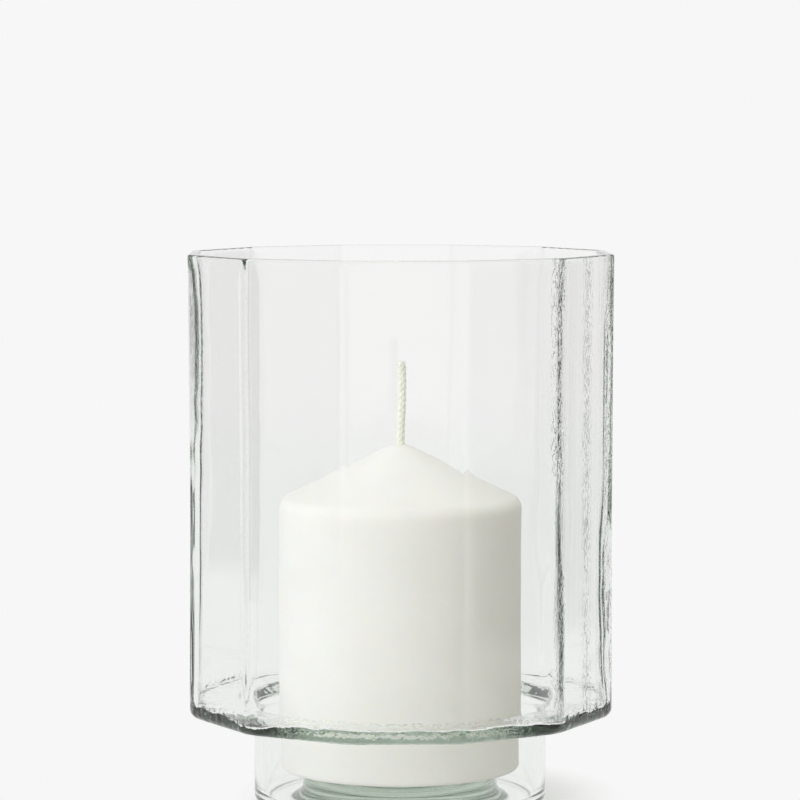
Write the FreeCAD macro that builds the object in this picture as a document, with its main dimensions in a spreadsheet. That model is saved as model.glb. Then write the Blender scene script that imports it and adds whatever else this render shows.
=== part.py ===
import FreeCAD, Part
import math
import os
import Sketcher

# A hurricane candle lantern: one piece of mould-blown glass, with a twelve-sided chamber over a round cup
# foot, and a pillar candle that stands in the foot. Millimetres, +Z up, origin under the middle of the foot.

ORIGIN = FreeCAD.Vector(0, 0, 0)
UP = FreeCAD.Vector(0, 0, 1)
FULL_TURN = 360
NEAR = 0.01

# Ends of a sketch's edges, and the sketch's own origin and upright axis
START, END, CENTRE = range(1, 4)
AXES, UPRIGHT_AXIS = range(-1, -3, -1)

DRIVING_DIMENSIONS = {
    # Glass chamber
    "facet_count": 12,
    "glass_height": 185,
    "across_flats": 140,
    "wall_thickness": 3.2,
    "shoulder_thickness": 4,
    "ridge_radius": 5,
    "hollow_ridge_radius": 4,
    "heel_radius": 3,
    "hollow_heel_bevel": 1,
    "rim_radius": 0.7,
    "rim_bevel": 0.6,
    # Glass foot
    "foot_height": 31.5,
    "foot_wall": 3.2,
    "base_thickness": 4,
    "seat_height": 12.5,
    "seat_diameter": 65,
    "seat_edge_bevel": 2.5,
    "seat_root_bevel": 2,
    "foot_edge_radius": 4,
    "neck_bevel": 1.5,
    "cup_lip_bevel": 4,
    "cup_corner_bevel": 3,
    "punt_diameter": 60,
    "punt_depth": 2.5,
    # Pillar candle, and the room around it in the cup
    "candle_diameter": 80,
    "candle_height": 110,
    "candle_cone_height": 20,
    "candle_shoulder_radius": 5,
    "candle_edge_bevel": 1.5,
    "candle_clearance": 5.8,
    # Wick
    "wick_diameter": 2.8,
    "wick_length": 27,
    "wick_lean": 4,
    "wick_clearance": 0.05,
    # Tinned-steel disc and collar under the wick
    "sustainer_diameter": 20,
    "sustainer_thickness": 0.4,
    "collar_height": 4,
    "collar_thickness": 0.4,
    "sustainer_clearance": 0.1,
}

# Sizes that two or more pieces share
CUP_DIAMETER = "(dims.candle_diameter + 2 * dims.candle_clearance)"
FOOT_DIAMETER = f"({CUP_DIAMETER} + 2 * dims.foot_wall)"
FLOOR_TOP = "(dims.foot_height + dims.shoulder_thickness)"
WICK_HOLE = "(dims.wick_diameter + 2 * dims.wick_clearance)"
COLLAR_DIAMETER = f"({WICK_HOLE} + 2 * dims.collar_thickness)"
COLLAR_TOP = "(dims.sustainer_thickness + dims.collar_height)"


def make_sheet(doc):
    """The driving dimensions, one row each."""
    sheet = doc.addObject("Spreadsheet::Sheet", "dims")
    for row, (name, value) in enumerate(DRIVING_DIMENSIONS.items(), start=1):
        sheet.set(f"A{row}", name)
        sheet.set(f"B{row}", str(value))
        sheet.setAlias(f"B{row}", name)
    doc.recompute()
    return sheet


def size_of(feature, expression):
    """The number that an expression over the sheet comes to."""
    return float(feature.evalExpression(expression))


def origin_plane(body, role):
    return next(plane for plane in body.Origin.OriginFeatures if plane.Role == role)


def attach(feature, body, role, start="0"):
    """Lies the feature in one of the body's planes, raised along the plane's normal by start."""
    feature.AttachmentSupport = [(origin_plane(body, role), "")]
    feature.MapMode = "FlatFace"
    feature.setExpression("AttachmentOffset.Base.z", start)


def make_body(doc, name, height="0"):
    """An empty piece that stands at the given height."""
    body = doc.addObject("PartDesign::Body", name)
    body.Label = name
    body.setExpression("Placement.Base.z", height)
    return body


def bind(sketch, expression, kind, *what):
    """Adds a sketch constraint whose size follows an expression over the sheet."""
    bound = sketch.addConstraint(Sketcher.Constraint(kind, *what, size_of(sketch, expression)))
    sketch.setExpression(f"Constraints[{bound}]", expression)


def circle_sketch(body, name, diameter, start="0"):
    sketch = body.newObject("Sketcher::SketchObject", name)
    attach(sketch, body, "XY_Plane", start)
    sketch.addGeometry(Part.Circle(ORIGIN, UP, size_of(sketch, diameter) / 2))
    sketch.addConstraint(Sketcher.Constraint("Coincident", 0, CENTRE, AXES, START))
    bind(sketch, diameter, "Diameter", 0)
    return sketch


def profile_sketch(body, name, corners):
    """A closed outline of straight edges in the XZ plane, each corner a pair of expressions: out, up."""
    sketch = body.newObject("Sketcher::SketchObject", name)
    attach(sketch, body, "XZ_Plane")
    points = [FreeCAD.Vector(size_of(sketch, out), size_of(sketch, up), 0) for out, up in corners]
    for edge, point in enumerate(points):
        following = points[(edge + 1) % len(points)]
        sketch.addGeometry(Part.LineSegment(point, following))
    for edge in range(len(points)):
        following = (edge + 1) % len(points)
        sketch.addConstraint(Sketcher.Constraint("Coincident", edge, END, following, START))
    for edge, (out, up) in enumerate(corners):
        hold_corner(sketch, edge, "DistanceX", out, UPRIGHT_AXIS)
        hold_corner(sketch, edge, "DistanceY", up, AXES)
    return sketch


def hold_corner(sketch, edge, way, expression, axis):
    """Holds the start of an edge at a distance from the sketch's origin, or on the axis itself."""
    if expression == "0":
        sketch.addConstraint(Sketcher.Constraint("PointOnObject", edge, START, axis))
    else:
        bind(sketch, expression, way, AXES, START, edge, START)


def revolve(body, kind, name, sketch):
    """Turns a profile once around the body's upright axis, to add or to cut."""
    turned = body.newObject(kind, name)
    turned.Profile = sketch
    turned.ReferenceAxis = (sketch, ["V_Axis"])
    turned.Angle = FULL_TURN
    body.Document.recompute()
    return turned


def pad_round(body, name, diameter, length):
    """An upright cylinder on the body's base plane."""
    pad = body.newObject("PartDesign::Pad", name)
    pad.Profile = circle_sketch(body, f"{name}_circle", diameter)
    pad.setExpression("Length", length)
    body.Document.recompute()
    return pad


def pocket_round(body, name, diameter, depth, start="0"):
    """A round hole that is cut upwards from the height start."""
    before = body.Shape.Volume
    sketch = circle_sketch(body, f"{name}_circle", diameter, start)
    pocket = body.newObject("PartDesign::Pocket", name)
    pocket.Profile = sketch
    pocket.Reversed = True
    pocket.setExpression("Length", depth)
    body.Document.recompute()
    if body.Shape.Volume >= before:
        raise RuntimeError(f"{name} cuts nothing")
    return pocket


def facet_prism(body, kind, name, flats, start, height):
    """The chamber's many-sided block, to add or to cut, with one flat towards the front."""
    prism = body.newObject(kind, name)
    attach(prism, body, "XY_Plane", start)
    prism.setExpression("AttachmentOffset.Rotation.Angle", "180 deg / dims.facet_count")
    prism.setExpression("Polygon", "dims.facet_count")
    prism.setExpression("Circumradius", f"{flats} / 2 / cos(180 deg / dims.facet_count)")
    prism.setExpression("Height", height)
    body.Document.recompute()
    return prism


def ease(body, name, wanted, size):
    """Rounds or bevels, as the size's name says, the edges of the piece so far that the test picks."""
    base = body.Tip
    edges = [f"Edge{count}" for count, edge in enumerate(base.Shape.Edges, start=1) if wanted(edge)]
    rounded = size.endswith("radius")
    eased = body.newObject("PartDesign::Fillet" if rounded else "PartDesign::Chamfer", name)
    eased.Base = (base, edges)
    eased.setExpression("Radius" if rounded else "Size", f"dims.{size}")
    body.Document.recompute()
    return eased


def level_at(height):
    """A test for edges that lie level at a height."""
    return lambda edge: abs(edge.BoundBox.ZMin - height) < NEAR and edge.BoundBox.ZLength < NEAR


def ring_at(height, diameter):
    """A test for the level circle of a diameter at a height."""
    level = level_at(height)
    return lambda edge: level(edge) and abs(edge.BoundBox.XLength - diameter) < NEAR


def loop_at(height, least, most):
    """A test for level edges at a height that keep between two radii."""
    level = level_at(height)
    return lambda edge: level(edge) and all(least < math.hypot(v.X, v.Y) < most for v in edge.Vertexes)


def upright_from(height, least):
    """A test for straight upright edges that start at a height and stand outside a radius."""
    def wanted(edge):
        box = edge.BoundBox
        upright = box.XLength < NEAR and box.YLength < NEAR and box.ZLength > NEAR
        return upright and abs(box.ZMin - height) < NEAR and math.hypot(box.XMin, box.YMin) > least
    return wanted


def build_glass(doc, sheet):
    """The blown glass: chamber, shoulder, cup foot, hollow, seat, rim and the shallow punt underneath."""
    body = make_body(doc, "glass_hurricane")
    foot_radius = size_of(sheet, FOOT_DIAMETER) / 2
    foot_height = sheet.foot_height
    floor_top = size_of(sheet, FLOOR_TOP)

    outer_flats = "dims.across_flats"
    chamber_height = "dims.glass_height - dims.foot_height"
    facet_prism(body, "PartDesign::AdditivePrism", "chamber", outer_flats, "dims.foot_height", chamber_height)
    ease(body, "ridges", upright_from(foot_height, foot_radius), "ridge_radius")
    ease(body, "heel", level_at(foot_height), "heel_radius")

    pad_round(body, "foot", FOOT_DIAMETER, "dims.foot_height")
    ease(body, "neck", ring_at(foot_height, 2 * foot_radius), "neck_bevel")
    ease(body, "foot_edge", level_at(0), "foot_edge_radius")

    hollow_flats = "(dims.across_flats - 2 * dims.wall_thickness)"
    hollow_height = f"dims.glass_height - {FLOOR_TOP}"
    facet_prism(body, "PartDesign::SubtractivePrism", "hollow", hollow_flats, FLOOR_TOP, hollow_height)
    ease(body, "hollow_ridges", upright_from(floor_top, foot_radius), "hollow_ridge_radius")
    ease(body, "hollow_heel", level_at(floor_top), "hollow_heel_bevel")

    cup_depth = f"{FLOOR_TOP} - dims.base_thickness"
    cup_diameter = size_of(sheet, CUP_DIAMETER)
    pocket_round(body, "cup", CUP_DIAMETER, cup_depth, "dims.base_thickness")
    ease(body, "cup_lip", ring_at(floor_top, cup_diameter), "cup_lip_bevel")
    ease(body, "cup_corner", ring_at(sheet.base_thickness, cup_diameter), "cup_corner_bevel")

    pad_round(body, "seat", "dims.seat_diameter", "dims.seat_height")
    ease(body, "seat_edge", ring_at(sheet.seat_height, sheet.seat_diameter), "seat_edge_bevel")
    ease(body, "seat_root", ring_at(sheet.base_thickness, sheet.seat_diameter), "seat_root_bevel")

    cut_punt(body)
    outside = sheet.across_flats / 2
    hollow_corner = (outside - sheet.wall_thickness) / math.cos(math.pi / sheet.facet_count)
    ease(body, "rim", loop_at(sheet.glass_height, outside, 2 * outside), "rim_radius")
    ease(body, "rim_inside", loop_at(sheet.glass_height, foot_radius, hollow_corner), "rim_bevel")
    return body


def cut_punt(body):
    """A shallow hollow under the foot, so that the glass stands on a ring."""
    before = body.Shape.Volume
    corners = [("0", "0"), ("dims.punt_diameter / 2", "0"), ("0", "dims.punt_depth")]
    revolve(body, "PartDesign::Groove", "punt", profile_sketch(body, "punt_profile", corners))
    if body.Shape.Volume >= before:
        raise RuntimeError("the punt cuts nothing")


def candle_profile(body):
    """Half the pillar's outline: base, side, a round shoulder and the slope of the cone."""
    sketch = body.newObject("Sketcher::SketchObject", "candle_profile")
    attach(sketch, body, "XZ_Plane")
    side = "dims.candle_diameter / 2"
    turn = f"(90 deg - atan(dims.candle_cone_height / ({side})))"
    side_top = "dims.candle_height - dims.candle_cone_height"
    side_top = f"{side_top} - dims.candle_shoulder_radius * tan({turn} / 2)"
    out = size_of(sketch, side)
    radius = size_of(sketch, "dims.candle_shoulder_radius")
    angle = math.radians(size_of(sketch, turn))
    base_corner = FreeCAD.Vector(out, 0, 0)
    side_end = FreeCAD.Vector(out, size_of(sketch, side_top), 0)
    centre = side_end - FreeCAD.Vector(radius, 0, 0)
    cone_start = centre + FreeCAD.Vector(math.cos(angle), math.sin(angle), 0) * radius
    peak = FreeCAD.Vector(0, size_of(sketch, "dims.candle_height"), 0)
    sketch.addGeometry(Part.LineSegment(ORIGIN, base_corner))
    sketch.addGeometry(Part.LineSegment(base_corner, side_end))
    sketch.addGeometry(Part.ArcOfCircle(Part.Circle(centre, UP, radius), 0, angle))
    sketch.addGeometry(Part.LineSegment(cone_start, peak))
    sketch.addGeometry(Part.LineSegment(peak, ORIGIN))
    sketch.addConstraint(Sketcher.Constraint("Coincident", 0, START, AXES, START))
    sketch.addConstraint(Sketcher.Constraint("Coincident", 0, END, 1, START))
    sketch.addConstraint(Sketcher.Constraint("Tangent", 1, END, 2, START))
    sketch.addConstraint(Sketcher.Constraint("Tangent", 2, END, 3, START))
    sketch.addConstraint(Sketcher.Constraint("Coincident", 3, END, 4, START))
    sketch.addConstraint(Sketcher.Constraint("Coincident", 4, END, 0, START))
    sketch.addConstraint(Sketcher.Constraint("Horizontal", 0))
    sketch.addConstraint(Sketcher.Constraint("Vertical", 1))
    sketch.addConstraint(Sketcher.Constraint("Vertical", 4))
    bind(sketch, side, "DistanceX", AXES, START, 1, START)
    bind(sketch, side_top, "DistanceY", AXES, START, 1, END)
    bind(sketch, "dims.candle_height", "DistanceY", AXES, START, 3, END)
    bind(sketch, "dims.candle_shoulder_radius", "Radius", 2)
    return sketch


def build_candle(doc, sheet):
    """The wax pillar, with a hole for the wick and a recess for the disc and collar that hold it."""
    body = make_body(doc, "candle_wax", "dims.seat_height")
    revolve(body, "PartDesign::Revolution", "pillar", candle_profile(body))
    ease(body, "candle_edge", ring_at(0, sheet.candle_diameter), "candle_edge_bevel")

    room = "2 * dims.sustainer_clearance"
    recess_depth = "dims.sustainer_thickness + dims.sustainer_clearance"
    collar_depth = f"{COLLAR_TOP} + dims.sustainer_clearance"
    pocket_round(body, "wick_hole", WICK_HOLE, "dims.candle_height")
    pocket_round(body, "collar_recess", f"{COLLAR_DIAMETER} + {room}", collar_depth)
    pocket_round(body, "disc_recess", f"dims.sustainer_diameter + {room}", recess_depth)
    return body


def wick_path(body):
    """Straight up through the wax, then a slight lean to one side and back above it."""
    sketch = body.newObject("Sketcher::SketchObject", "wick_path")
    attach(sketch, body, "XZ_Plane")
    bend = "(dims.wick_length / 3 / (dims.wick_lean * pi / 180))"
    rise = f"({bend} * sin(dims.wick_lean * 1 deg))"
    radius = size_of(sketch, bend)
    lean = math.radians(size_of(sketch, "dims.wick_lean"))
    height = size_of(sketch, "dims.candle_height")
    emerges = FreeCAD.Vector(0, height, 0)
    first_centre = FreeCAD.Vector(radius, height, 0)
    second_centre = first_centre + FreeCAD.Vector(-math.cos(lean), math.sin(lean), 0) * (2 * radius)
    first_circle = Part.Circle(first_centre, UP, radius)
    second_circle = Part.Circle(second_centre, UP, radius)
    sketch.addGeometry(Part.LineSegment(ORIGIN, emerges))
    sketch.addGeometry(Part.ArcOfCircle(first_circle, math.pi - lean, math.pi))
    sketch.addGeometry(Part.ArcOfCircle(second_circle, -lean, lean))
    sketch.addConstraint(Sketcher.Constraint("Coincident", 0, START, AXES, START))
    sketch.addConstraint(Sketcher.Constraint("PointOnObject", 0, END, UPRIGHT_AXIS))
    sketch.addConstraint(Sketcher.Constraint("Tangent", 0, END, 1, END))
    sketch.addConstraint(Sketcher.Constraint("Tangent", 1, START, 2, START))
    sketch.addConstraint(Sketcher.Constraint("Equal", 1, 2))
    bind(sketch, bend, "Radius", 1)
    bind(sketch, "dims.candle_height", "DistanceY", AXES, START, 0, END)
    bind(sketch, f"dims.candle_height + {rise}", "DistanceY", AXES, START, 1, START)
    bind(sketch, f"dims.candle_height + 3 * {rise}", "DistanceY", AXES, START, 2, END)
    return sketch


def build_wick(doc):
    """The cotton wick, from the underside of the candle to its loose end."""
    body = make_body(doc, "wick", "dims.seat_height")
    path = wick_path(body)
    section = circle_sketch(body, "wick_section", "dims.wick_diameter")
    doc.recompute()
    pipe = body.newObject("PartDesign::AdditivePipe", "wick_cord")
    pipe.Profile = section
    pipe.Spine = (path, [f"Edge{count + 1}" for count in range(path.GeometryCount)])
    doc.recompute()
    return body


def build_sustainer(doc):
    """The thin disc under the candle, with the collar that is crimped round the wick."""
    body = make_body(doc, "wick_sustainer", "dims.seat_height")
    inside = f"{WICK_HOLE} / 2"
    collar = f"{COLLAR_DIAMETER} / 2"
    disc = "dims.sustainer_diameter / 2"
    plate = "dims.sustainer_thickness"
    corners = [(inside, "0"), (disc, "0"), (disc, plate), (collar, plate)]
    corners += [(collar, COLLAR_TOP), (inside, COLLAR_TOP)]
    outline = profile_sketch(body, "sustainer_profile", corners)
    revolve(body, "PartDesign::Revolution", "sustainer", outline)
    return body


def check(doc, pieces):
    """Stops if any feature failed or any piece is empty or broken."""
    for feature in doc.Objects:
        if "Invalid" in feature.State or "Error" in feature.State:
            raise RuntimeError(f"{feature.Label} failed: {feature.State}")
    for piece in pieces:
        if piece.Shape.isNull() or not piece.Shape.isValid():
            raise RuntimeError(f"{piece.Label} is empty or not valid")


def main():
    doc = FreeCAD.newDocument("hurricane_lantern")
    sheet = make_sheet(doc)
    pieces = [build_glass(doc, sheet), build_candle(doc, sheet), build_wick(doc), build_sustainer(doc)]
    doc.recompute()
    check(doc, pieces)
    os.makedirs("parts", exist_ok=True)
    for piece in pieces:
        piece.Shape.exportStep(f"parts/{piece.Label}.step")
        print(piece.Label, round(piece.Shape.Volume), piece.Shape.BoundBox)


main()
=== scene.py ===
import math

import bpy
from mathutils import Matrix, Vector, noise


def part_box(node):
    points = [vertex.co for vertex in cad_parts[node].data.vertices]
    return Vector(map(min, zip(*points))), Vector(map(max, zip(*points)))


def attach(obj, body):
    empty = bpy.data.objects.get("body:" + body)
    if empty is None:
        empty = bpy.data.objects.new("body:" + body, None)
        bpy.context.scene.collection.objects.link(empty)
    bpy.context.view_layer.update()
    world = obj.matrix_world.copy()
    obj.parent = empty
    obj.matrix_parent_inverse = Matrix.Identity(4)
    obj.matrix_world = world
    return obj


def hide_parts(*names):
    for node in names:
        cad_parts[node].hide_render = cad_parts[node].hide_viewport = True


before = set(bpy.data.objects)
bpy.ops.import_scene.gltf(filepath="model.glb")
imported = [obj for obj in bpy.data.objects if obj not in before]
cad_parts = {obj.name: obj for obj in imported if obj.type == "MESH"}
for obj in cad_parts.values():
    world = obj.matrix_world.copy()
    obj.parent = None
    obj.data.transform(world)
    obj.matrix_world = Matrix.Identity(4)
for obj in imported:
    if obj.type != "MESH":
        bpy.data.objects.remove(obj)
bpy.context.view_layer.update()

MM = 0.001
FULL_TURN = 2 * math.pi
QUARTER_TURN = math.pi / 2
WHITE = (1, 1, 1, 1)

# Glass sizes, in metres
GLASS_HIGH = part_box("glass_hurricane")[1]
RIM_HEIGHT = GLASS_HIGH[2]
OUTSIDE = GLASS_HIGH[0]
FACETS = 12
HALF_FACET = math.pi / FACETS
FACET_WIDTH = 2 * HALF_FACET * OUTSIDE
WALL = 3.2 * MM
SHOULDER = 4 * MM
FOOT_HEIGHT = 31.5 * MM
FOOT_RADIUS = 49 * MM
FOOT_EDGE = 4 * MM
CUP_RADIUS = 45.8 * MM
CUP_CORNER = 3 * MM
CUP_LIP = 7 * MM
VALLEY = 3 * MM
NECK = 2 * MM
KICK_HEIGHT = 12.5 * MM
KICK_RADIUS = 32.5 * MM
KICK_ROUND = 4.5 * MM
PUNT_RADIUS = 30 * MM
PUNT_DEPTH = 2.5 * MM
HEEL = 3 * MM
RIDGE = 5 * MM
HEEL_RIDGE = 16 * MM
HOLLOW_RIDGE = RIDGE - WALL / 3
HOLLOW_HEEL = 1 * MM
RIM_ROUND = 0.7 * MM
RIM_INSIDE = 0.6 * MM
PUNT_RINGS = 12
COLUMNS_PER_FACET = 24
COLUMN_CROWDING = 0.85
WALL_RINGS = 74

# How far blown glass strays from the mould
WAIST = 0.35 * MM
OUTER_WAVE = 0.02 * MM
INNER_WAVE = 0.05 * MM
FLOOR_WAVE = 0.6 * MM
LONG_WAVE = 90 * MM
SHORT_WAVE = 30 * MM
OUTER_SEED = 1.3
INNER_SEED = 7.9
WAVE_START = 12 * MM
WAVE_END = 3 * MM
FLOOR_FADE = 8 * MM
RIDGE_WANDER = math.radians(0.25)
WANDER_LENGTH = 22 * MM

# Marks that the mould left on the skins, in the height of their relief and how far they reach beside a ridge
CHILL_DEPTH = 0.35 * MM
CHILL_CORE = 0.5 * MM
RIGHT_REACH = 3.5 * MM
RIGHT_GRAIN_LOW = 100 * MM
RIGHT_GRAIN_HIGH = 125 * MM
LEFT_REACH = 9 * MM
LEFT_GRAIN_LOW = 110 * MM
LEFT_GRAIN_HIGH = 150 * MM
FRONT_DEPTH = 10 * MM
STREAK_FACET = -1.0
STREAK_STRENGTH = 0.35
STREAK_LINES = 0.1
HEEL_MOTTLE = 1.5

# Ridges that the photograph shows, counted round from the first one past +X
LEFT_EDGE, LEFT_FRONT, MIDDLE_LEFT, MIDDLE_RIGHT, RIGHT_FRONT, RIGHT_EDGE = 6, 7, 8, 9, 10, 11

# Threads of glass gathered inside ridges: ridge, distance beside it, width, depth, middle height, reach
THREADS = (
    (LEFT_EDGE, -1.2 * MM, 4.5 * MM, 2.5 * MM, 165 * MM, 40 * MM),
    (LEFT_EDGE, 0 * MM, 3 * MM, 0.8 * MM, 90 * MM, 45 * MM),
    (LEFT_FRONT, 0 * MM, 2.5 * MM, 0.3 * MM, 160 * MM, 130 * MM),
    (MIDDLE_RIGHT, 0 * MM, 2.2 * MM, 0.3 * MM, 68 * MM, 50 * MM),
    (RIGHT_FRONT, 0 * MM, 4 * MM, 0.8 * MM, 172 * MM, 28 * MM),
    (RIGHT_FRONT, 0 * MM, 4 * MM, 0.8 * MM, 132 * MM, 17 * MM),
    (RIGHT_FRONT, 0 * MM, 7 * MM, 0.5 * MM, 98 * MM, 14 * MM),
    (RIGHT_FRONT, 2.3 * MM, 2 * MM, 0.3 * MM, 98 * MM, 14 * MM),
    (RIGHT_FRONT, -2 * MM, 1 * MM, -0.5 * MM, 68 * MM, 16 * MM),
    (RIGHT_FRONT, 1.1 * MM, 2 * MM, -0.1 * MM, 68 * MM, 16 * MM),
    (RIGHT_EDGE, 0 * MM, 4 * MM, -0.4 * MM, 184 * MM, 9 * MM),
    (RIGHT_EDGE, 0 * MM, 2.2 * MM, 0.9 * MM, 140 * MM, 32 * MM),
    (RIGHT_EDGE, 0 * MM, 4 * MM, 2.1 * MM, 76 * MM, 22 * MM),
    (RIGHT_EDGE, 0 * MM, 2 * MM, 1.5 * MM, 50 * MM, 14 * MM),
)
THREAD_WANDER = 0.4
THREAD_LENGTH = 9 * MM
THREAD_END = 8 * MM

# Painted shade beside two ridges, dark grey strips standing in for the dark reflections those ridges turn
# back: ridge, near side, far side, low end, high end, fade above, strength
PAINTED_RIDGE_SHADE = (
    (LEFT_EDGE, 0.8 * MM, 6.0 * MM, 140 * MM, 178 * MM, 6 * MM, 0.8),
    (RIGHT_FRONT, -2.2 * MM, 0 * MM, 48 * MM, 84 * MM, 34 * MM, 0.65),
)
PAINTED_SHADE_FADE = 25 * MM
PAINTED_SHADE_GREY = (0.012, 0.017, 0.018, 1)

# Where the chamber's floor sinks beside a ridge: depth and width
FLOOR_DIPS = {LEFT_FRONT: (2.0 * MM, 11 * MM), RIGHT_FRONT: (1.2 * MM, 7 * MM)}

# How far the inner skin's middle ridges stand round from the outer ones
INNER_TURN = {MIDDLE_LEFT: math.radians(-0.42), MIDDLE_RIGHT: math.radians(0.42)}

# Candle sizes
CANDLE_LOW, CANDLE_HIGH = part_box("candle_wax")
CANDLE_RADIUS = CANDLE_HIGH[0]
CANDLE_BASE = CANDLE_LOW[2]
CANDLE_PEAK = CANDLE_BASE + 110 * MM
CONE_HEIGHT = 20 * MM
CANDLE_SHOULDER = 5 * MM
CANDLE_EDGE = 1.5 * MM
SEAT_GAP = 0.1 * MM
CANDLE_COLUMNS = 144
WAX_UNEVEN = 0.12 * MM
WAX_WAVE = 18 * MM

# Wick sizes
WICK_RADIUS = 1.4 * MM
WICK_LENGTH = 27 * MM
WICK_LEAN = math.radians(4)

# Disc and collar under the wick
DISC_RADIUS = 10 * MM
DISC_THICKNESS = 0.4 * MM
COLLAR_RADIUS = 1.85 * MM
COLLAR_HEIGHT = 4 * MM
DISC_COLUMNS = 96

# Camera, fitted to the photograph's rim, silhouettes and candle
CAMERA_DISTANCE = 1.15
CAMERA_HEIGHT = 0.2299
CAMERA_AZIMUTH = math.radians(-1.3)
CAMERA_TILT = math.radians(4.683)
CAMERA_LENS = 155.5
CAMERA_SENSOR = 36

# Backdrop and light
BACKDROP = 0.93
FLOOR_RADIUS = 1.8
FLOOR_SIDES = 96
FLOOR_DROP = 0.1 * MM
FLOOR_LIT = 0.72
FLOOR_LIGHT = 1.03
FLOOR_BOUNCE_LEFT = (1.0, 1.0, 1.02, 1)
FLOOR_BOUNCE_RIGHT = (0.3, 0.28, 0.2, 1)
BOUNCE_SPREAD = 0.15
SHADOW_PLACE = (10 * MM, 15 * MM, 0)
SHADOW_REACH = 70 * MM
LIGHT_LEVEL = 0.73
LIGHT_ACROSS = 1.28
LIGHT_ALONG = 0.83
LIGHT_TOP = 1.05
COOL_SIDE = (0.99, 0.995, 1.02, 1)
WARM_SIDE = (1.0, 0.99, 0.93, 1)
SHOWN_WHITE = (1.025, 1.01, 1.02, 1)
SWEEP_LEFT = -0.55
SWEEP_RIGHT = 0.38
SWEEP_FADE = 0.1
SWEEP_TURN = math.radians(10)
DIM_ROOM = 0.05
FRONT_WALL = 1.15
CEILING = 0.5


class Nodes:
    """A short way to add and join shader nodes."""

    def __init__(self, tree):
        self.tree = tree
        tree.nodes.clear()

    def add(self, kind, inputs=None, **settings):
        node = self.tree.nodes.new(kind)
        for name, value in settings.items():
            setattr(node, name, value)
        for name, value in (inputs or {}).items():
            self.feed(node.inputs[name], value)
        return node

    def feed(self, socket, value):
        if isinstance(value, bpy.types.NodeSocket):
            self.tree.links.new(value, socket)
        else:
            socket.default_value = value

    def math(self, operation, first, second=0.0):
        node = self.add("ShaderNodeMath", {0: first, 1: second}, operation=operation)
        return node.outputs[0]

    def ramp(self, value, low, high, to_low=0.0, to_high=1.0):
        """A smooth step from to_low to to_high as value goes from low to high."""
        inputs = {"Value": value, "From Min": low, "From Max": high, "To Min": to_low, "To Max": to_high}
        return self.add("ShaderNodeMapRange", inputs, interpolation_type="SMOOTHSTEP").outputs[0]

    def product(self, first, *others):
        for other in others:
            first = self.math("MULTIPLY", first, other)
        return first

    def grey(self, value):
        """The same value in all three colour channels."""
        return self.add("ShaderNodeCombineColor", {0: value, 1: value, 2: value}).outputs[0]

    def blend(self, share, first, second):
        """A colour between two others."""
        node = self.add("ShaderNodeMix", {"Factor": share}, data_type="RGBA")
        self.feed(node.inputs["A"], first)
        self.feed(node.inputs["B"], second)
        return node.outputs["Result"]

    def noise(self, place, scale, detail=2.0):
        inputs = {"Vector": place, "Scale": scale, "Detail": detail}
        return self.add("ShaderNodeTexNoise", inputs).outputs["Fac"]

    def stretched(self, place, scale):
        mapping = self.add("ShaderNodeMapping", {"Vector": place})
        mapping.inputs["Scale"].default_value = scale
        return mapping.outputs[0]


def new_material(name):
    material = bpy.data.materials.new(name)
    material.use_nodes = True
    return material, Nodes(material.node_tree)


# Meshes

def outline_radius(angle, flat, corner):
    """Distance from the axis to a twelve-sided outline with round corners."""
    from_flat = (angle + HALF_FACET) % (2 * HALF_FACET) - HALF_FACET
    straight = math.atan2((flat - corner) * math.tan(HALF_FACET), flat)
    if abs(from_flat) <= straight:
        return flat / math.cos(from_flat)
    from_ridge = HALF_FACET - abs(from_flat)
    centre = (flat - corner) / math.cos(HALF_FACET)
    return centre * math.cos(from_ridge) + math.sqrt(corner ** 2 - (centre * math.sin(from_ridge)) ** 2)


def run(start, end, steps):
    """Points along a straight stretch of a profile, without its end."""
    return [Vector(start).lerp(Vector(end), step / steps) for step in range(steps)]


def bend(centre, radius, start, end, steps):
    """Points along a round stretch of a profile, without its end; angles in degrees."""
    points = []
    for step in range(steps):
        angle = math.radians(start + (end - start) * step / steps)
        points.append(Vector(centre) + Vector((math.cos(angle), math.sin(angle))) * radius)
    return points


def mix(start, end, share):
    return start + (end - start) * min(max(share, 0.0), 1.0)


def facet_angles(per_facet):
    """Angles round the glass, packed closer at the ridges."""
    angles = []
    for facet in range(FACETS):
        for step in range(per_facet):
            share = step / per_facet
            eased = share - COLUMN_CROWDING * math.sin(FULL_TURN * share) / FULL_TURN
            angles.append(HALF_FACET + 2 * HALF_FACET * (facet + eased))
    return angles


def outside_profile():
    """From under the middle of the foot to the top of the rim: distance of the flats, and height."""
    floor_ring = FOOT_RADIUS - FOOT_EDGE
    points = []
    for step in range(1, PUNT_RINGS):
        share = step / PUNT_RINGS
        points.append(Vector((PUNT_RADIUS * share, PUNT_DEPTH * (1 - share ** 2) ** 1.5)))
    points += run((PUNT_RADIUS, 0), (floor_ring, 0), 6)
    points += bend((floor_ring, FOOT_EDGE), FOOT_EDGE, -90, 0, 8)
    points += run((FOOT_RADIUS, FOOT_EDGE), (FOOT_RADIUS, FOOT_HEIGHT - NECK), 12)
    points += bend((FOOT_RADIUS + NECK, FOOT_HEIGHT - NECK), NECK, 180, 90, 6)
    points += run((FOOT_RADIUS + NECK, FOOT_HEIGHT), (OUTSIDE - HEEL, FOOT_HEIGHT), 8)
    points += bend((OUTSIDE - HEEL, FOOT_HEIGHT + HEEL), HEEL, -90, 0, 10)
    points += run((OUTSIDE, FOOT_HEIGHT + HEEL), (OUTSIDE, RIM_HEIGHT - RIM_ROUND), WALL_RINGS)
    points += bend((OUTSIDE - RIM_ROUND, RIM_HEIGHT - RIM_ROUND), RIM_ROUND, 0, 90, 6)
    return points


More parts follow.
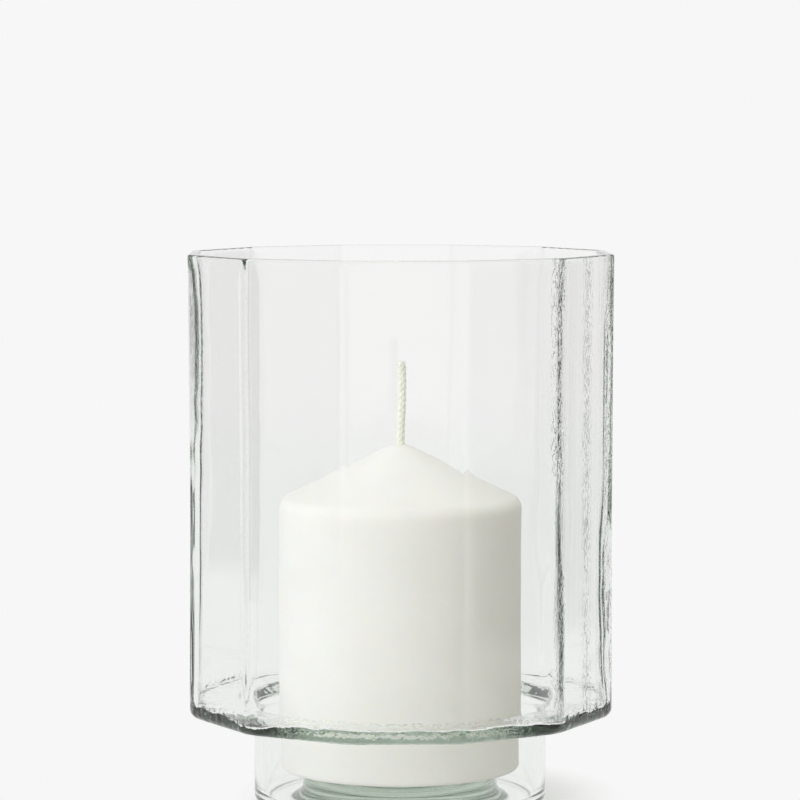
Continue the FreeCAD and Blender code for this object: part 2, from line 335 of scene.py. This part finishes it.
def inside_profile():
    """From the top of the rim down to the middle of the cup's floor."""
    inside = OUTSIDE - WALL
    floor = FOOT_HEIGHT + SHOULDER
    points = run((OUTSIDE - RIM_ROUND, RIM_HEIGHT), (inside + RIM_INSIDE, RIM_HEIGHT), 2)
    points += bend((inside + RIM_INSIDE, RIM_HEIGHT - RIM_INSIDE), RIM_INSIDE, 90, 180, 6)
    points += run((inside, RIM_HEIGHT - RIM_INSIDE), (inside, floor + HOLLOW_HEEL), WALL_RINGS)
    points += bend((inside - HOLLOW_HEEL, floor + HOLLOW_HEEL), HOLLOW_HEEL, 0, -90, 10)
    points += run((inside - HOLLOW_HEEL, floor), (CUP_RADIUS + CUP_LIP, floor), 8)
    points += bend((CUP_RADIUS + CUP_LIP, floor - CUP_LIP), CUP_LIP, 90, 180, 8)
    points += run((CUP_RADIUS, floor - CUP_LIP), (CUP_RADIUS, VALLEY + CUP_CORNER), 8)
    points += bend((CUP_RADIUS - CUP_CORNER, VALLEY + CUP_CORNER), CUP_CORNER, 0, -90, 8)
    points += run((CUP_RADIUS - CUP_CORNER, VALLEY), (KICK_RADIUS + KICK_ROUND, VALLEY), 4)
    points += bend((KICK_RADIUS + KICK_ROUND, VALLEY + KICK_ROUND), KICK_ROUND, 270, 180, 8)
    points += run((KICK_RADIUS, VALLEY + KICK_ROUND), (KICK_RADIUS, KICK_HEIGHT - KICK_ROUND), 3)
    points += bend((KICK_RADIUS - KICK_ROUND, KICK_HEIGHT - KICK_ROUND), KICK_ROUND, 0, 90, 8)
    points += run((KICK_RADIUS - KICK_ROUND, KICK_HEIGHT), (0, KICK_HEIGHT), 6)
    return points


def wall_share(height):
    """0 in the foot, 1 on the chamber's wall, back to 0 at the rim."""
    rising = min(max((height - FOOT_HEIGHT) / WAVE_START, 0.0), 1.0)
    falling = min(max((RIM_HEIGHT - height) / WAVE_END, 0.0), 1.0)
    return rising * falling


def floor_share(flat, height):
    """1 on the chamber's floor near the wall, 0 on the wall above and at the cup's mouth."""
    outward = (flat - CUP_RADIUS - CUP_LIP) / (OUTSIDE - WALL - CUP_RADIUS - CUP_LIP)
    upward = (FOOT_HEIGHT + SHOULDER + FLOOR_FADE - height) / FLOOR_FADE
    return min(max(outward, 0.0), 1.0) ** 3 * min(max(upward, 0.0), 1.0)


def stray(angle, height, seed):
    """How blown glass strays from a true wall at a point, between about -1 and 1: long upright waves."""
    around = Vector((math.cos(angle), math.sin(angle), 0)) * 4.0
    long_wave = noise.noise(around + Vector((seed, 0, height / LONG_WAVE)))
    short_wave = noise.noise(around * 2.6 + Vector((0, seed, height / SHORT_WAVE)))
    return 1.2 * long_wave + 0.5 * short_wave


def glass_point(point, angle, hollow):
    """A point of the glass's outer or hollow side at an angle, for a profile point."""
    flat, height = point
    wave, seed = (INNER_WAVE, INNER_SEED) if hollow else (OUTER_WAVE, OUTER_SEED)
    share = wall_share(height)
    waist = WAIST * share * math.sin(math.pi * (height - FOOT_HEIGHT) / (RIM_HEIGHT - FOOT_HEIGHT))
    ridge = nearest_ridge(angle)
    wander = RIDGE_WANDER * noise.noise(Vector((ridge * 3.7, 1.3, height / WANDER_LENGTH)))
    if hollow:
        wander -= INNER_TURN.get(ridge % FACETS, 0.0)
    turned = angle + wander * share
    radius = outline_radius(turned, flat, min(corner_rounding(flat, height, hollow), flat)) - waist
    radius += wave * share * stray(angle, height, seed)
    if hollow:
        radius -= share * thread_depth(angle, height)
        uneven = FLOOR_WAVE * stray(2 * angle, 0.0, seed) - floor_dip(angle)
        height += uneven * floor_share(flat, height)
    return Vector((radius * math.cos(angle), radius * math.sin(angle), height))


def nearest_ridge(angle):
    """Number of the ridge nearest to an angle, counted round from the first one."""
    return round((angle - HALF_FACET) / (2 * HALF_FACET))


def beside_ridge(angle):
    """Distance round the outer skin from the nearest ridge to an angle."""
    return (angle - HALF_FACET - nearest_ridge(angle) * 2 * HALF_FACET) * OUTSIDE


def floor_dip(angle):
    """How far the chamber's floor sinks by the wall."""
    depth, width = FLOOR_DIPS.get(nearest_ridge(angle) % FACETS, (0.0, MM))
    return depth * math.exp(-(beside_ridge(angle) / width) ** 2)


def thread_depth(angle, height):
    """How far glass that ran together inside the nearest ridge stands into the chamber."""
    ridge = nearest_ridge(angle) % FACETS
    beside = beside_ridge(angle)
    below_rim = min((RIM_HEIGHT - height) / THREAD_END, 1.0)
    depth = 0.0
    for place, aside, width, thick, middle, reach in THREADS:
        if place == ridge:
            across = (beside - aside) / width
            along = (height - middle) / reach
            uneven = 1 + THREAD_WANDER * noise.noise(Vector((ridge * 2.3, 4.1, height / THREAD_LENGTH)))
            depth += thick * uneven * math.exp(-across * across - along * along)
    return depth * below_rim


def corner_rounding(flat, height, hollow):
    """Round in the foot, blunt at the heel, and sharper up the chamber's wall."""
    share = (flat - FOOT_RADIUS - NECK) / (OUTSIDE - HEEL - FOOT_RADIUS - NECK)
    ridge = mix(HEEL_RIDGE, HOLLOW_RIDGE if hollow else RIDGE, (height - FOOT_HEIGHT) / (5 * HEEL))
    return mix(flat, ridge, share)


def smooth_mesh(name, points, faces):
    mesh = bpy.data.meshes.new(name)
    mesh.from_pydata([tuple(point) for point in points], [], faces)
    mesh.validate()
    mesh.shade_smooth()
    return mesh


def lathe_mesh(name, rings, closed):
    """A mesh from rings of points, all with the same count, with a middle point at both ends where closed."""
    count = len(rings[0])
    points = [point for ring in rings for point in ring]
    faces = []
    for ring in range(len(rings) - 1):
        for column in range(count):
            following = (column + 1) % count
            low = ring * count
            faces.append((low + column, low + following, low + count + following, low + count + column))
    ends = ((0, True), (len(rings) - 1, False)) if closed else ()
    for ring, flipped in ends:
        middle = len(points)
        points.append(sum(rings[ring], Vector()) / count)
        for column in range(count):
            fan = (ring * count + column, ring * count + (column + 1) % count, middle)
            faces.append(tuple(reversed(fan)) if flipped else fan)
    return smooth_mesh(name, points, faces)


def add_piece(name, mesh, body, node, material):
    """Puts a mesh in the scene, on its body, in place of a CAD node."""
    piece = bpy.data.objects.new(name, mesh)
    bpy.context.scene.collection.objects.link(piece)
    mesh.materials.append(material)
    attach(piece, body)
    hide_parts(node)


def glass_mesh():
    """The blown glass, outer skin up to the rim and inner skin down into the cup."""
    angles = facet_angles(COLUMNS_PER_FACET)
    rings = []
    for profile, hollow in ((outside_profile(), False), (inside_profile(), True)):
        for point in profile:
            rings.append([glass_point(point, angle, hollow) for angle in angles])
    return lathe_mesh("glass_body", rings, closed=True)


def round_rings(profile, columns):
    """Rings round the upright axis for a profile of distances and heights."""
    rings = []
    for out, up in profile:
        ring = []
        for column in range(columns):
            angle = FULL_TURN * column / columns
            ring.append(Vector((out * math.cos(angle), out * math.sin(angle), up)))
        rings.append(ring)
    return rings


def candle_mesh():
    """The wax pillar, slightly uneven as poured and pressed wax is."""
    base = CANDLE_BASE + SEAT_GAP
    slope = math.degrees(math.atan2(CONE_HEIGHT, CANDLE_RADIUS))
    turn = 90 - slope
    side_top = CANDLE_PEAK - CONE_HEIGHT - CANDLE_SHOULDER * math.tan(math.radians(turn / 2))
    centre = Vector((CANDLE_RADIUS - CANDLE_SHOULDER, side_top))
    end = math.radians(turn)
    cone_start = centre + Vector((math.cos(end), math.sin(end))) * CANDLE_SHOULDER
    hole = WICK_RADIUS * 0.9
    recess = base + DISC_THICKNESS
    profile = run((hole, recess), (DISC_RADIUS, recess), 3)
    profile += run((DISC_RADIUS, recess), (DISC_RADIUS, base), 1)
    profile += run((DISC_RADIUS, base), (CANDLE_RADIUS - CANDLE_EDGE, base), 5)
    profile += bend((CANDLE_RADIUS - CANDLE_EDGE, base + CANDLE_EDGE), CANDLE_EDGE, -90, 0, 5)
    profile += run((CANDLE_RADIUS, base + CANDLE_EDGE), (CANDLE_RADIUS, side_top), 30)
    profile += bend(centre, CANDLE_SHOULDER, 0, turn, 10)
    profile += run(cone_start, (hole, CANDLE_PEAK - hole * CONE_HEIGHT / CANDLE_RADIUS), 16)
    rings = round_rings(profile, CANDLE_COLUMNS)
    for ring in rings:
        for point in ring:
            if point.z > base + CANDLE_EDGE and point.xy.length > 2 * WICK_RADIUS:
                shift = WAX_UNEVEN * (noise.noise(point / WAX_WAVE) - 0.4)
                point += Vector((point.x, point.y, 0)).normalized() * shift
    return lathe_mesh("candle_pillar", rings, closed=True)


def wick_line(along):
    """A point on the wick's middle and its direction, for a length along it from the candle's base."""
    straight = CANDLE_PEAK - CANDLE_BASE
    radius = WICK_LENGTH / 3 / WICK_LEAN
    if along <= straight:
        return Vector((0, 0, CANDLE_BASE + along)), Vector((0, 0, 1))
    first = min((along - straight) / radius, WICK_LEAN)
    second = max((along - straight) / radius - WICK_LEAN, 0.0)
    tilt = first - second
    start = Vector((radius * (1 - math.cos(first)), 0, CANDLE_PEAK + radius * math.sin(first)))
    across = radius * (math.cos(WICK_LEAN - second) - math.cos(WICK_LEAN))
    up = radius * (math.sin(WICK_LEAN) - math.sin(WICK_LEAN - second))
    return start + Vector((across, 0, up)), Vector((math.sin(tilt), 0, math.cos(tilt)))


def wick_mesh():
    """A round plait of eight cotton strands on a core."""
    strands_each_way = 4
    strand = 0.78 * MM
    core = 1.3 * MM
    middle = 0.82 * MM
    lift = 0.03 * MM
    pitch = 8.5 * MM
    fray = 0.06 * MM
    fray_length = 1.6 * MM
    tip = 0.8 * MM
    step = 0.55 * MM
    sides = 8
    start = 0.6 * MM
    length = CANDLE_PEAK - CANDLE_BASE + WICK_LENGTH - strand
    points, faces = [], []

    def tube(line, radius):
        low = len(points)
        rings = int((length - start) / step)
        for ring in range(rings + 1):
            along = start + (length - start) * ring / rings
            centre, side, out = line(along)
            end_taper = min(1.0, 0.55 + (length - along) / tip)
            for corner in range(sides):
                turn = FULL_TURN * corner / sides
                points.append(centre + (side * math.cos(turn) + out * math.sin(turn)) * radius * end_taper)
        for ring in range(rings):
            for corner in range(sides):
                near = low + ring * sides + corner
                far = low + ring * sides + (corner + 1) % sides
                faces.append((near, far, far + sides, near + sides))
        faces.append(tuple(low + corner for corner in reversed(range(sides))))
        faces.append(tuple(low + rings * sides + corner for corner in range(sides)))

    def strand_line(index, way):
        def line(along):
            centre, up = wick_line(along)
            right = Vector((0, 1, 0)).cross(up)
            turn = way * FULL_TURN * along / pitch + FULL_TURN * index / strands_each_way
            out = right * math.cos(turn) + Vector((0, 1, 0)) * math.sin(turn)
            over = math.cos(strands_each_way * FULL_TURN * along / pitch)
            ragged = fray * noise.noise(Vector((index * 5.1 + way, along / fray_length, 0)))
            away = middle + way * lift * over + ragged
            side = up.cross(out)
            return centre + out * away, side, out
        return line

    def core_line(along):
        centre, up = wick_line(along)
        return centre, Vector((0, 1, 0)).cross(up), Vector((0, 1, 0))

    tube(core_line, core)
    for way in (1, -1):
        for index in range(strands_each_way):
            tube(strand_line(index, way), strand)
    return smooth_mesh("wick_plait", points, faces)


def sustainer_mesh():
    """The stamped disc with its crimped collar."""
    base = CANDLE_BASE + SEAT_GAP
    top = base + DISC_THICKNESS
    crown = top + COLLAR_HEIGHT
    bore = WICK_RADIUS * 1.02
    lip = 0.15 * MM
    bead = 0.12 * MM
    profile = run((bore, crown), (bore, base), 8)
    profile += run((bore, base), (DISC_RADIUS - lip, base), 6)
    profile += bend((DISC_RADIUS - lip, base + lip), lip, -90, 90, 6)
    profile += run((DISC_RADIUS - lip, top - bead), (COLLAR_RADIUS + 2 * lip, top - bead), 8)
    profile += run((COLLAR_RADIUS, top), (COLLAR_RADIUS, crown - lip), 8)
    profile += bend((COLLAR_RADIUS - lip, crown - lip), lip, 0, 90, 3)
    rings = round_rings(profile, DISC_COLUMNS)
    rings.append([point.copy() for point in rings[0]])
    return lathe_mesh("sustainer_disc", rings, closed=False)


# Materials

def facet_place(nodes, place):
    """Facets round from +X to a point of the glass, facets past its flat, and distance from the axis."""
    x, y = nodes.add("ShaderNodeSeparateXYZ", {0: place}).outputs[:2]
    turn = nodes.math("DIVIDE", nodes.math("ARCTAN2", y, x), 2 * HALF_FACET)
    from_flat = nodes.math("SUBTRACT", turn, nodes.math("ROUND", turn))
    square = nodes.math("ADD", nodes.math("MULTIPLY", x, x), nodes.math("MULTIPLY", y, y))
    return turn, from_flat, nodes.math("SQRT", square)


def ridge_grain(nodes, place, from_flat):
    """Grain along the ridges on the right, and faintly along the left edge, on the front half alone."""
    x, y, z = nodes.add("ShaderNodeSeparateXYZ", {0: place}).outputs
    from_ridge = nodes.math("SUBTRACT", 0.5, nodes.math("ABSOLUTE", from_flat))
    beside = nodes.math("MULTIPLY", from_ridge, FACET_WIDTH)
    near_right = nodes.ramp(beside, CHILL_CORE, RIGHT_REACH, 1.0, 0.0)
    near_left = nodes.ramp(beside, 0.5 * LEFT_REACH, LEFT_REACH, 1.0, 0.0)
    on_right = nodes.math("MULTIPLY", near_right, nodes.ramp(x, 0.5 * OUTSIDE, 0.6 * OUTSIDE))
    right = nodes.math("MULTIPLY", on_right, nodes.ramp(z, RIGHT_GRAIN_LOW, RIGHT_GRAIN_HIGH, 0.25, 1.0))
    on_left = nodes.math("MULTIPLY", near_left, nodes.ramp(x, -0.8 * OUTSIDE, -0.85 * OUTSIDE))
    left = nodes.math("MULTIPLY", on_left, nodes.ramp(z, LEFT_GRAIN_LOW, LEFT_GRAIN_HIGH, 0.0, 0.1))
    front = nodes.ramp(y, 0.0, -FRONT_DEPTH)
    return nodes.math("MULTIPLY", front, nodes.math("MAXIMUM", left, right))


def chill_marks(nodes, place):
    """Relief that the mould left: grain by ridges and down one facet, fine upright lines, a mottled heel."""
    z = nodes.add("ShaderNodeSeparateXYZ", {0: place}).outputs["Z"]
    turn, from_flat, outward = facet_place(nodes, place)
    from_streak = nodes.math("ABSOLUTE", nodes.math("SUBTRACT", turn, STREAK_FACET))
    beside_streak = nodes.math("MULTIPLY", from_streak, FACET_WIDTH)
    streak = nodes.ramp(beside_streak, CHILL_CORE, RIGHT_REACH, STREAK_STRENGTH, 0.0)
    facet = nodes.ramp(from_streak, 0.35, 0.5, STREAK_LINES, 0.0)
    wall = nodes.ramp(z, FOOT_HEIGHT, FOOT_HEIGHT + HEEL)
    tall = nodes.stretched(place, (1, 1, 0.35))
    upright = nodes.stretched(place, (1, 1, 0.03))
    patchy = nodes.ramp(nodes.noise(tall, 110.0), 0.35, 0.6, 0.15, 1.0)
    pits = nodes.ramp(nodes.noise(tall, 1500.0), 0.52, 0.66)
    where = nodes.math("MAXIMUM", ridge_grain(nodes, place, from_flat), streak)
    marks = nodes.product(where, patchy, pits)
    drawn = nodes.math("MULTIPLY", facet, nodes.noise(upright, 420.0))
    low = nodes.ramp(z, FOOT_HEIGHT + HEEL, FOOT_HEIGHT + 3 * HEEL, HEEL_MOTTLE, 0.0)
    heel = nodes.math("MULTIPLY", low, nodes.ramp(outward, OUTSIDE - 2 * HEEL, OUTSIDE - HEEL))
    uneven = nodes.math("MULTIPLY", heel, nodes.noise(place, 300.0))
    return nodes.math("ADD", uneven, nodes.math("MULTIPLY", wall, nodes.math("ADD", marks, drawn)))


def painted_ridge_shade(nodes, place):
    """Painted shade on the outer skin: dark speckled strips beside two ridges, standing in for the dark
    reflections those ridges turn back.
    """
    z = nodes.add("ShaderNodeSeparateXYZ", {0: place}).outputs["Z"]
    turn, from_flat, outward = facet_place(nodes, place)
    tall = nodes.stretched(place, (1, 1, 0.25))
    speckle = nodes.ramp(nodes.noise(tall, 1300.0), 0.35, 0.6, 0.5, 1.0)
    patchy = nodes.ramp(nodes.noise(tall, 160.0), 0.3, 0.5, 0.85, 1.0)
    shade_total = 0.0
    for ridge, near, far, low, high, above, strength in PAINTED_RIDGE_SHADE:
        past_ridge = nodes.math("SUBTRACT", turn, ridge + 0.5 - FACETS)
        beside = nodes.math("MULTIPLY", past_ridge, FACET_WIDTH)
        past_near = nodes.ramp(beside, near - MM, near + MM)
        before_far = nodes.ramp(beside, far + MM, far - MM)
        over_low = nodes.ramp(z, low - PAINTED_SHADE_FADE, low + PAINTED_SHADE_FADE)
        under_high = nodes.ramp(z, high + above, high)
        mark = nodes.product(past_near, before_far, nodes.math("MULTIPLY", over_low, under_high), strength)
        shade_total = nodes.math("MAXIMUM", shade_total, mark)
    square_to_flat = nodes.math("COSINE", nodes.math("MULTIPLY", from_flat, 2 * HALF_FACET))
    flat = nodes.math("MULTIPLY", outward, square_to_flat)
    outer = nodes.ramp(flat, OUTSIDE - 0.7 * WALL, OUTSIDE - 0.5 * WALL)
    return nodes.product(shade_total, outer, nodes.math("MULTIPLY", speckle, patchy))


def glass_material():
    """Clear glass with a faint green in its thickness; lamps and soft light pass straight through."""
    material, nodes = new_material("clear_glass")
    path = nodes.add("ShaderNodeLightPath")
    place = nodes.add("ShaderNodeTexCoord").outputs["Object"]
    bump = nodes.add("ShaderNodeBump", {"Height": chill_marks(nodes, place)})
    bump.inputs["Strength"].default_value = 1.0
    bump.inputs["Distance"].default_value = CHILL_DEPTH
    glass = nodes.add("ShaderNodeBsdfPrincipled", {"Normal": bump.outputs["Normal"]})
    # Base Color carries painted shade: dark grey strips beside two ridges that stand in for dark reflections,
    # not a stain in the glass.
    nodes.feed(glass.inputs["Base Color"], nodes.blend(painted_ridge_shade(nodes, place), WHITE, PAINTED_SHADE_GREY))
    glass.inputs["Roughness"].default_value = 0.0
    glass.inputs["IOR"].default_value = 1.5
    glass.inputs["Transmission Weight"].default_value = 1.0
    clear = nodes.add("ShaderNodeBsdfTransparent")
    height = nodes.add("ShaderNodeSeparateXYZ", {0: place}).outputs["Z"]
    foot = nodes.ramp(height, FOOT_HEIGHT * 0.6, FOOT_HEIGHT, 0.98, 1.0)
    nodes.feed(clear.inputs["Color"], nodes.grey(foot))
    passing = nodes.math("MAXIMUM", path.outputs["Is Shadow Ray"], path.outputs["Is Diffuse Ray"])
    surface = nodes.add("ShaderNodeMixShader", {0: passing, 1: glass.outputs[0], 2: clear.outputs[0]})
    tint = nodes.add("ShaderNodeVolumeAbsorption")
    tint.inputs["Color"].default_value = (0.40, 0.53, 0.40, 1)
    tint.inputs["Density"].default_value = 21.0
    nodes.add("ShaderNodeOutputMaterial", {"Surface": surface.outputs[0], "Volume": tint.outputs[0]})
    return material


def wax_material():
    """White paraffin wax: light sinks in a little, a soft sheen, and a faintly mottled skin."""
    material, nodes = new_material("white_wax")
    place = nodes.add("ShaderNodeTexCoord").outputs["Object"]
    cloud = nodes.noise(place, 60.0, detail=4.0)
    grain = nodes.noise(place, 900.0)
    skin = nodes.math("ADD", cloud, nodes.math("MULTIPLY", grain, 0.12))
    bump = nodes.add("ShaderNodeBump", {"Strength": 0.08, "Distance": 1 * MM, "Height": skin})
    wax = nodes.add("ShaderNodeBsdfPrincipled", {
        "Base Color": nodes.blend(cloud, (0.87, 0.86, 0.82, 1), (0.93, 0.92, 0.89, 1)),
        "Roughness": nodes.ramp(cloud, 0.3, 0.7, 0.42, 0.55),
        "Normal": bump.outputs["Normal"],
    })
    wax.inputs["IOR"].default_value = 1.44
    wax.inputs["Subsurface Weight"].default_value = 0.45
    wax.inputs["Subsurface Radius"].default_value = (1.0, 0.8, 0.5)
    wax.inputs["Subsurface Scale"].default_value = 4 * MM
    nodes.add("ShaderNodeOutputMaterial", {"Surface": wax.outputs[0]})
    return material


def cotton_material():
    """Cotton strands stiff with wax, with fine fibres along the plait."""
    material, nodes = new_material("cotton")
    place = nodes.add("ShaderNodeTexCoord").outputs["Object"]
    fibre = nodes.noise(place, 2600.0, detail=3.0)
    patch = nodes.noise(place, 350.0)
    bump = nodes.add("ShaderNodeBump", {"Strength": 0.4, "Distance": 0.3 * MM, "Height": fibre})
    cotton = nodes.add("ShaderNodeBsdfPrincipled", {
        "Base Color": nodes.blend(patch, (0.86, 0.86, 0.77, 1), (0.93, 0.93, 0.84, 1)),
        "Roughness": nodes.ramp(patch, 0.3, 0.7, 0.6, 0.85),
        "Normal": bump.outputs["Normal"],
    })
    cotton.inputs["Diffuse Roughness"].default_value = 1.0
    cotton.inputs["Sheen Weight"].default_value = 0.1
    nodes.add("ShaderNodeOutputMaterial", {"Surface": cotton.outputs[0]})
    return material


def tinplate_material():
    """Bright tinned steel with rolling marks and dull spots of wax."""
    material, nodes = new_material("tinplate")
    place = nodes.add("ShaderNodeTexCoord").outputs["Object"]
    rolled = nodes.noise(nodes.stretched(place, (1, 30, 30)), 120.0, detail=3.0)
    spots = nodes.noise(place, 400.0)
    bump = nodes.add("ShaderNodeBump", {"Strength": 0.1, "Distance": 0.5 * MM, "Height": rolled})
    tin = nodes.add("ShaderNodeBsdfPrincipled", {
        "Base Color": nodes.blend(rolled, (0.62, 0.62, 0.60, 1), (0.78, 0.78, 0.76, 1)),
        "Roughness": nodes.ramp(spots, 0.4, 0.7, 0.25, 0.5),
        "Normal": bump.outputs["Normal"],
    })
    tin.inputs["Metallic"].default_value = 1.0
    nodes.add("ShaderNodeOutputMaterial", {"Surface": tin.outputs[0]})
    return material


def floor_material():
    """A pale table top that melts into the backdrop at its edge and keeps a light shadow."""
    material, nodes = new_material("pale_floor")
    place = nodes.add("ShaderNodeTexCoord").outputs["Object"]
    path = nodes.add("ShaderNodeLightPath")
    away = nodes.add("ShaderNodeVectorMath", {0: place}, operation="LENGTH").outputs["Value"]
    across = nodes.add("ShaderNodeSeparateXYZ", {0: place}).outputs["X"]
    past_right = nodes.ramp(across, SWEEP_RIGHT, SWEEP_RIGHT + SWEEP_FADE)
    past_left = nodes.ramp(across, SWEEP_LEFT, SWEEP_LEFT - SWEEP_FADE)
    turned_back = nodes.math("GREATER_THAN", path.outputs["Glossy Depth"], 0.5)
    beyond = nodes.math("MULTIPLY", nodes.math("ADD", past_right, past_left), turned_back)
    fade = nodes.math("MAXIMUM", beyond, nodes.ramp(away, FLOOR_RADIUS * 0.6, FLOOR_RADIUS * 0.98))
    aside = nodes.add("ShaderNodeVectorMath", {0: place, 1: SHADOW_PLACE}, operation="DISTANCE")
    near = nodes.ramp(aside.outputs["Value"], SHADOW_REACH * 0.6, SHADOW_REACH, FLOOR_LIT, 0.0)
    share = nodes.math("MULTIPLY", near, path.outputs["Is Camera Ray"])
    table = nodes.add("ShaderNodeBsdfDiffuse")
    nodes.feed(table.inputs["Color"], nodes.grey(share))
    rest = nodes.math("SUBTRACT", BACKDROP, nodes.math("MULTIPLY", share, FLOOR_LIGHT))
    rightward = nodes.ramp(across, -BOUNCE_SPREAD, BOUNCE_SPREAD)
    bounce = nodes.blend(rightward, FLOOR_BOUNCE_LEFT, FLOOR_BOUNCE_RIGHT)
    tone = nodes.blend(path.outputs["Is Diffuse Ray"], WHITE, bounce)
    glow = nodes.add("ShaderNodeEmission", {"Color": tone, "Strength": rest})
    pale = nodes.add("ShaderNodeAddShader", {0: table.outputs[0], 1: glow.outputs[0]})
    clear = nodes.add("ShaderNodeBsdfTransparent")
    surface = nodes.add("ShaderNodeMixShader", {0: fade, 1: pale.outputs[0], 2: clear.outputs[0]})
    nodes.add("ShaderNodeOutputMaterial", {"Surface": surface.outputs[0]})
    return material


# Stage

def build_floor():
    ring = []
    for side in range(FLOOR_SIDES):
        angle = FULL_TURN * side / FLOOR_SIDES
        ring.append((FLOOR_RADIUS * math.cos(angle), FLOOR_RADIUS * math.sin(angle), 0))
    mesh = bpy.data.meshes.new("floor")
    mesh.from_pydata(ring, [], [tuple(range(FLOOR_SIDES))])
    floor = bpy.data.objects.new("floor", mesh)
    floor.location.z = -FLOOR_DROP
    bpy.context.scene.collection.objects.link(floor)
    mesh.materials.append(floor_material())


def build_world():
    """Pale studio: a white sweep behind, a dimmer room to the sides and front, soft light from the left."""
    world = bpy.data.worlds.new("studio")
    world.use_nodes = True
    bpy.context.scene.world = world
    nodes = Nodes(world.node_tree)
    path = nodes.add("ShaderNodeLightPath")
    way = nodes.add("ShaderNodeTexCoord").outputs["Generated"]
    across, along, up = nodes.add("ShaderNodeSeparateXYZ", {0: way}).outputs

    # Light on dull surfaces, strongest on the left and in front
    sideways = nodes.math("MULTIPLY", across, LIGHT_ACROSS)
    inward = nodes.math("MULTIPLY", along, LIGHT_ALONG)
    slope = nodes.math("SUBTRACT", nodes.math("SUBTRACT", LIGHT_LEVEL, sideways), inward)
    side = nodes.math("MAXIMUM", slope, 0.0)
    overhead = nodes.ramp(up, 0.15, 0.6)
    spread = nodes.add("ShaderNodeMix", {"Factor": overhead, "A": side, "B": LIGHT_TOP})
    warmth = nodes.blend(nodes.ramp(across, -0.6, 0.6), COOL_SIDE, WARM_SIDE)
    lighting = nodes.add("ShaderNodeBackground", {"Color": warmth, "Strength": spread.outputs["Result"]})

    # What glass and gloss show: white straight through, and a dim room beside the sweep for light turned back
    ahead = nodes.math("MULTIPLY", along, math.cos(SWEEP_TURN))
    turned = nodes.math("SUBTRACT", ahead, nodes.math("MULTIPLY", across, math.sin(SWEEP_TURN)))
    behind = nodes.ramp(turned, 0.3, 0.5)
    front = nodes.ramp(along, -0.6, -0.3, FRONT_WALL, DIM_ROOM)
    above = nodes.ramp(up, -0.012, 0.01)
    ceiling = nodes.ramp(up, 0.35, 0.6, 1.0, CEILING)
    bright = nodes.math("MAXIMUM", behind, nodes.math("MULTIPLY", above, ceiling))
    straight = nodes.math("LESS_THAN", path.outputs["Glossy Depth"], 0.5)
    shine = nodes.math("MAXIMUM", nodes.math("MAXIMUM", bright, front), straight)
    level = nodes.math("MULTIPLY", shine, BACKDROP)
    shown = nodes.add("ShaderNodeBackground", {"Color": SHOWN_WHITE, "Strength": level})

    plain = nodes.add("ShaderNodeBackground")
    plain.inputs["Color"].default_value = WHITE
    plain.inputs["Strength"].default_value = BACKDROP
    soft = nodes.math("GREATER_THAN", path.outputs["Diffuse Depth"], 0.5)
    lit = nodes.add("ShaderNodeMixShader", {0: soft, 1: shown.outputs[0], 2: lighting.outputs[0]})
    seen = nodes.add("ShaderNodeMixShader", {
        0: path.outputs["Is Camera Ray"],
        1: lit.outputs[0],
        2: plain.outputs[0],
    })
    nodes.add("ShaderNodeOutputWorld", {"Surface": seen.outputs[0]})


def build_camera():
    camera = bpy.data.objects.new("camera", bpy.data.cameras.new("camera"))
    camera.data.lens = CAMERA_LENS
    camera.data.sensor_width = CAMERA_SENSOR
    camera.location = (
        CAMERA_DISTANCE * math.sin(CAMERA_AZIMUTH),
        -CAMERA_DISTANCE * math.cos(CAMERA_AZIMUTH),
        CAMERA_HEIGHT,
    )
    camera.rotation_euler = (QUARTER_TURN - CAMERA_TILT, 0, CAMERA_AZIMUTH)
    bpy.context.scene.collection.objects.link(camera)
    bpy.context.scene.camera = camera


bpy.context.scene.view_settings.view_transform = "Standard"
bpy.context.scene.cycles.max_bounces = 80
bpy.context.scene.cycles.glossy_bounces = 16
bpy.context.scene.cycles.transmission_bounces = 80
bpy.context.scene.cycles.transparent_max_bounces = 24
add_piece("glass_body", glass_mesh(), "glass", "glass_hurricane", glass_material())
add_piece("candle_pillar", candle_mesh(), "candle", "candle_wax", wax_material())
add_piece("wick_plait", wick_mesh(), "candle", "wick", cotton_material())
add_piece("sustainer_disc", sustainer_mesh(), "candle", "wick_sustainer", tinplate_material())
build_floor()
build_world()
build_camera()
